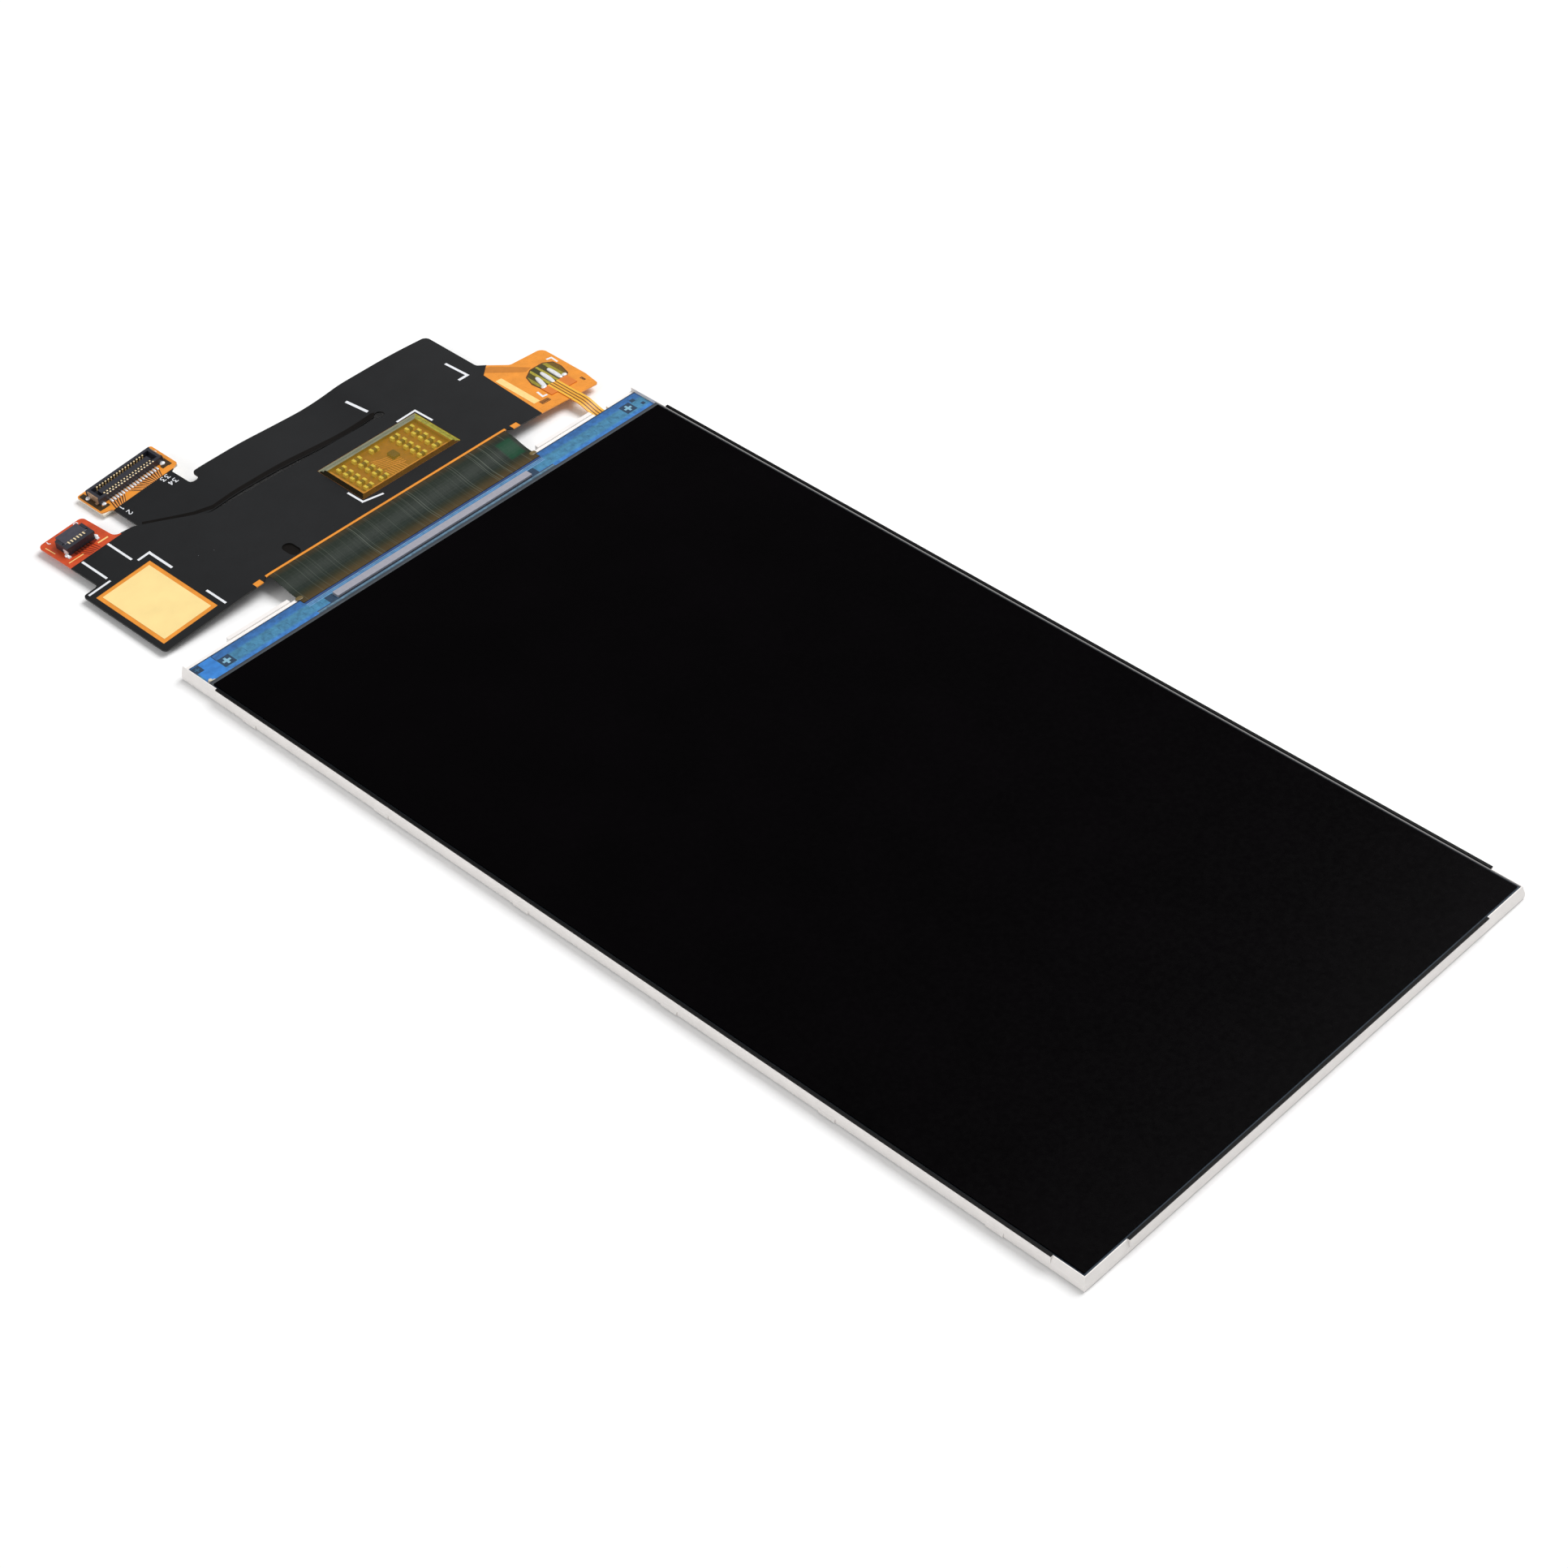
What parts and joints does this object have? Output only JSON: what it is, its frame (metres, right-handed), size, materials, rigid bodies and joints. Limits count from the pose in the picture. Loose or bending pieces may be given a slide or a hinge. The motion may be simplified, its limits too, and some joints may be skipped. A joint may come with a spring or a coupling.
{
  "type": "phone lcd screen assembly",
  "caption": "Flat phone display module with a white backlight frame, a glass ledge with driver chip, and a flexible circuit that carries a board connector and a small locking connector.",
  "frame": {"origin": "centre of the viewing face (the front polariser's outline) projected onto the flat rear face of the backlight", "axes": "+X across the width towards the backlight tail's side, +Y along the length towards the flexible circuit, +Z out of the viewing face"},
  "size_m": [0.065, 0.1495, 0.0025],
  "materials": {
    "reflector_film": "silver-white reflector film, smooth",
    "clear_acrylic": "clear, polished",
    "optical_film": "frosted film",
    "amber_polyimide": "amber-orange film with copper behind it, satin",
    "led_resin": "white moulding with a pale yellow window",
    "white_moulding": "white, fine texture",
    "black_tape": "black, matt",
    "polariser_film": "near black, smooth, dull sheen",
    "thin_glass": "polished, seen dark blue-grey",
    "seal_glue": "cured resin",
    "crystal_layer": "sealed fluid",
    "silicon": "ground silicon, grey",
    "blue_varnish": "blue, glossy, see-through",
    "silver_paste": "cured paste, cream",
    "olive_polyimide": "dark olive film over fine copper lines",
    "black_cover_film": "black, satin",
    "gold_plating": "immersion gold, satin",
    "amber_window": "yellow-brown film, satin",
    "chip_resin": "black moulding compound",
    "capacitor_ceramic": "brown body with tinned ends",
    "solder": "bright solder",
    "pale_laminate": "pale, satin",
    "red_laminate": "red-brown, satin",
    "connector_resin": "black, fine texture",
    "lock_resin": "black, fine texture",
    "tinned_sheet": "tinned, satin"
  },
  "bodies": {
    "module": {"rear_reflector": "reflector_film", "light_guide": "clear_acrylic", "diffuser_film": "optical_film", "lower_prism_film": "optical_film", "upper_prism_film": "optical_film", "led_strip_flex": "amber_polyimide", "led_packages": "led_resin", "mould_frame": "white_moulding", "rim_tape": "black_tape", "edge_tapes": "black_tape", "rear_polariser": "polariser_film", "array_glass": "thin_glass", "cell_seal": "seal_glue", "liquid_crystal": "crystal_layer", "filter_glass": "thin_glass", "front_polariser": "polariser_film", "driver_chip": "silicon", "ledge_varnish": "blue_varnish", "silver_dot": "silver_paste", "bond_film": "seal_glue", "bond_flex": "olive_polyimide", "flex_base": "amber_polyimide", "top_cover_film": "black_cover_film", "rear_cover_film": "black_cover_film", "shielding_pad": "gold_plating", "ground_strip": "gold_plating", "chip_capacitors": "capacitor_ceramic", "filter_chip": "chip_resin", "window_tape": "amber_window", "field_stiffener": "pale_laminate", "backlight_tail": "amber_polyimide", "tail_joints": "solder", "board_stiffener": "pale_laminate", "board_housing": "connector_resin", "board_contacts": "gold_plating", "board_clips": "tinned_sheet", "key_stiffener": "red_laminate", "key_housing": "connector_resin", "key_contacts": "gold_plating", "key_clips": "tinned_sheet"},
    "lock": {"flip_lock": "lock_resin"}
  },
  "joints": [
    {"name": "lock_flip", "type": "hinge", "parent": "module", "child": "lock", "pos_m": [-0.02652, 0.08535, 0.00197], "axis": [0.9962, 0, 0.0872], "range_deg": [0, 90]}
  ]
}
